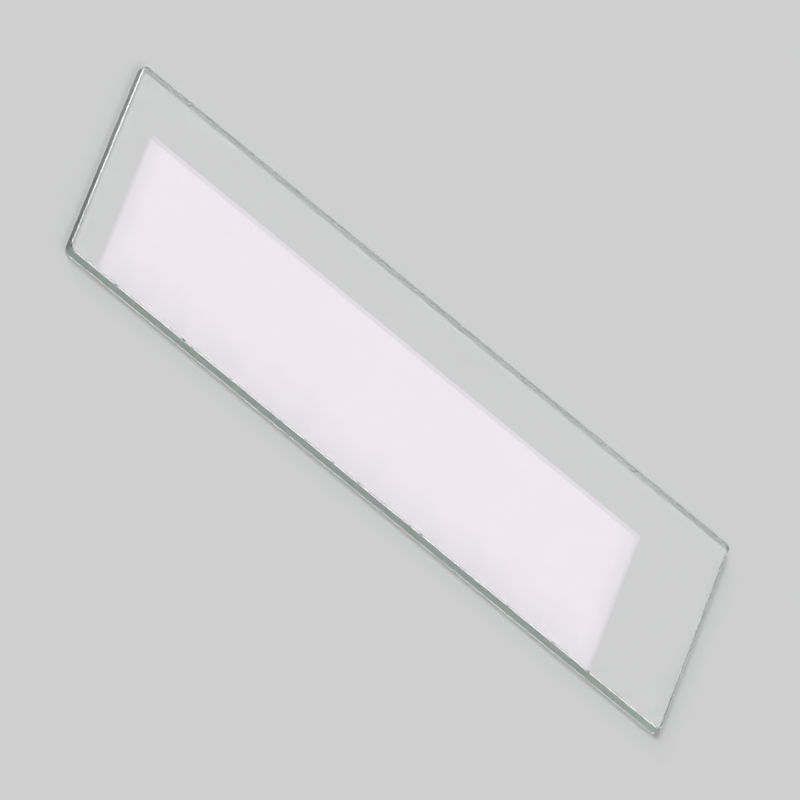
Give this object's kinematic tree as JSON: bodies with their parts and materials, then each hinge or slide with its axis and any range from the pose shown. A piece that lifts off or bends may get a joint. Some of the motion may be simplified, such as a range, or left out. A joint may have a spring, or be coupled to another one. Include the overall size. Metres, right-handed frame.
{
  "type": "microscope slide",
  "caption": "Plain rectangular pane of clear glass with polished faces and ground, bevelled edges, for holding a specimen under a microscope.",
  "frame": {"origin": "centre of the underside, on the surface that the slide lies on", "axes": "+X along the length, +Y across the width, +Z out of the upper face"},
  "size_m": [0.076, 0.026, 0.001],
  "materials": {
    "slide_glass": "clear soda-lime glass with a faint green tint, polished on both faces and finely ground on its edges"
  },
  "bodies": {
    "root": {"glass_slide": "slide_glass"}
  },
  "joints": []
}
